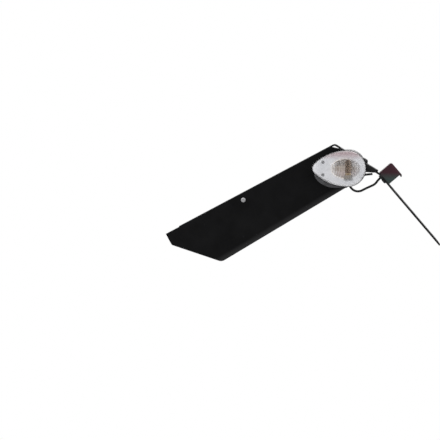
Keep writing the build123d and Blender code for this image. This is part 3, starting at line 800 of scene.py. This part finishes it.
@dataclass
class Indicator:
    """One indicator: body, clear lens, reflector and bulb on a rubber stalk."""

    hand: Hand

    def node(self, name: str) -> str:
        """Name of this side's CAD node."""
        return f"{self.hand.value}_{name}"

    def dress_own(self, finish: Finish, *names: str) -> None:
        """Give this side's CAD nodes a finish."""
        dress_nodes(finish, *map(self.node, names))

    def dress(self) -> None:
        """Give the indicator's pieces their plastics, glass, rubber and plating."""
        lens = self.node("indicator_lens")
        low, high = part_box(lens)
        middle = (low + high) / 2
        rim_at = min(abs(low.y), abs(high.y))
        dress_nodes(FlutedLens(f"{lens}_plastic", (middle.x, middle.z), rim_at), lens)
        self.dress_own(BODY_PLASTIC, "indicator_body")
        self.dress_own(RUBBER, "indicator_gasket")
        self.dress_own(STALK_RUBBER, "indicator_stalk")
        self.dress_own(METALLISED, "indicator_reflector")
        self.dress_own(SMOKED_GLASS, "bulb_glass")
        self.dress_own(BASE_METAL, "bulb_base")
        self.dress_own(HOLDER_PLASTIC, "bulb_holder")
        self.dress_own(STEEL, "reflector_screws")
        self.dress_own(ZINC, "indicator_stud", "indicator_spacer", "indicator_washer", "indicator_nut")


def facing(at: Triple, aim: Triple) -> Euler:
    """Turn of a lamp or camera that looks from one point at another."""
    return (Vector(aim) - Vector(at)).to_track_quat("-Z", "Y").to_euler()


@dataclass(frozen=True)
class Softbox:
    """A square soft lamp, which doesn't show through the lenses."""

    name: str
    at: Triple
    size: float
    watts: float

    def build(self, aim: Triple) -> None:
        """Add the lamp.

        Args:
            aim: point that it faces.
        """
        lamp = bpy.data.lights.new(self.name, "AREA")
        lamp.size = self.size
        lamp.energy = self.watts
        holder = bpy.data.objects.new(self.name, lamp)
        holder.visible_transmission = False
        holder.location = self.at
        holder.rotation_euler = facing(self.at, aim)
        bpy.context.scene.collection.objects.link(holder)
        LOG.info("lamp %s of %g W", self.name, self.watts)


@dataclass(frozen=True)
class Studio:
    """Camera at the photograph's angle, soft lamps, a white surround and a pale floor."""

    eye: Triple = (0.1665, -3.0, 0.0806)
    aim: Triple = (-0.034, 0.0, -0.0403)
    lens_mm: float = 173.06
    sensor_mm: float = 36.0
    middle: Triple = (0.08, 0.0, -0.02)
    surround_light: float = 0.55
    floor_height: float = -0.5
    floor_reach: float = 12.0
    floor_tone: float = 0.86
    floor_rough: float = 0.9
    floor_specular: float = 0.1
    floor_fade: Span = (0.3, 0.75)
    lamps: tuple[Softbox, ...] = (
        Softbox("key", at=(-0.9, -1.7, 1.5), size=1.3, watts=26.0),
        Softbox("fill", at=(1.6, -1.2, 0.5), size=1.2, watts=9.0),
        Softbox("back", at=(0.4, 1.8, 1.2), size=1.2, watts=14.0),
    )

    def seen_straight(self, tree: bpy.types.NodeTree) -> Socket:
        """Factor that is 1 for rays from the camera, a mirror or glass.

        Args:
            tree: node tree to add to.

        Returns:
            The factor.
        """
        path = tree.nodes.new("ShaderNodeLightPath")
        factor = path.outputs["Is Camera Ray"]
        for name in ("Is Glossy Ray", "Is Transmission Ray"):
            either = tree.nodes.new("ShaderNodeMath")
            either.operation = "MAXIMUM"
            tree.links.new(factor, either.inputs[0])
            tree.links.new(path.outputs[name], either.inputs[1])
            factor = either.outputs[0]
        return factor

    def build_camera(self) -> None:
        """Place the camera."""
        camera = bpy.data.cameras.new("camera")
        camera.lens = self.lens_mm
        camera.sensor_width = self.sensor_mm
        holder = bpy.data.objects.new("camera", camera)
        holder.location = self.eye
        holder.rotation_euler = facing(self.eye, self.aim)
        bpy.context.scene.collection.objects.link(holder)
        bpy.context.scene.camera = holder

    def build_surround(self) -> None:
        """Make the world white to look at and softer as a light."""
        world = bpy.data.worlds.new("surround")
        bpy.context.scene.world = world
        world.use_nodes = True
        tree = world.node_tree
        glow = tree.nodes["Background"]
        glow.inputs["Strength"].default_value = self.surround_light
        glow.inputs["Color"].default_value = WHITE
        white = tree.nodes.new("ShaderNodeBackground")
        white.inputs["Color"].default_value = WHITE
        mix = tree.nodes.new("ShaderNodeMixShader")
        tree.links.new(self.seen_straight(tree), mix.inputs["Fac"])
        tree.links.new(glow.outputs[0], mix.inputs[1])
        tree.links.new(white.outputs[0], mix.inputs[2])
        tree.links.new(mix.outputs[0], tree.nodes["World Output"].inputs["Surface"])

    def build_floor(self) -> None:
        """Add the pale floor, which keeps the shadow near the part and fades to white far off."""
        bpy.ops.object.select_all(action="DESELECT")
        below = (*self.middle[:2], self.floor_height)
        bpy.ops.mesh.primitive_plane_add(size=2 * self.floor_reach, location=below)
        floor = bpy.context.object
        floor.name = "floor"
        shading = Shading("floor_paper")
        shading.fix(
            Base_Color=(self.floor_tone,) * 3,
            Roughness=self.floor_rough,
            Specular_IOR_Level=self.floor_specular,
        )
        length = shading.nodes.new("ShaderNodeVectorMath")
        length.operation = "LENGTH"
        shading.links.new(shading.place, length.inputs[0])
        far = shading.between(length.outputs["Value"], 0.0, 1.0, self.floor_fade)
        shown = shading.math("MULTIPLY", far, self.seen_straight(shading.material.node_tree))
        white = shading.nodes.new("ShaderNodeEmission")
        mix = shading.nodes.new("ShaderNodeMixShader")
        shading.links.new(shown, mix.inputs["Fac"])
        shading.links.new(shading.shader.outputs["BSDF"], mix.inputs[1])
        shading.links.new(white.outputs["Emission"], mix.inputs[2])
        shading.links.new(mix.outputs[0], shading.nodes["Material Output"].inputs["Surface"])
        floor.data.materials.append(shading.material)

    def build(self) -> None:
        """Build the camera, the surround, the floor and the lamps."""
        bpy.context.scene.view_settings.view_transform = "Standard"
        self.build_camera()
        self.build_surround()
        self.build_floor()
        for lamp in self.lamps:
            lamp.build(self.middle)


def main() -> None:
    """Dress each sub-assembly, lay the plate light's cable, then set up the studio."""
    logging.basicConfig(level=logging.INFO, format="%(name)s: %(message)s")
    Brackets().dress()
    Undertray().dress()
    light = PlateLight()
    light.build()
    light.dress()
    for hand in Hand:
        Indicator(hand).dress()
    Studio().build()


if __name__ == "__main__":
    main()
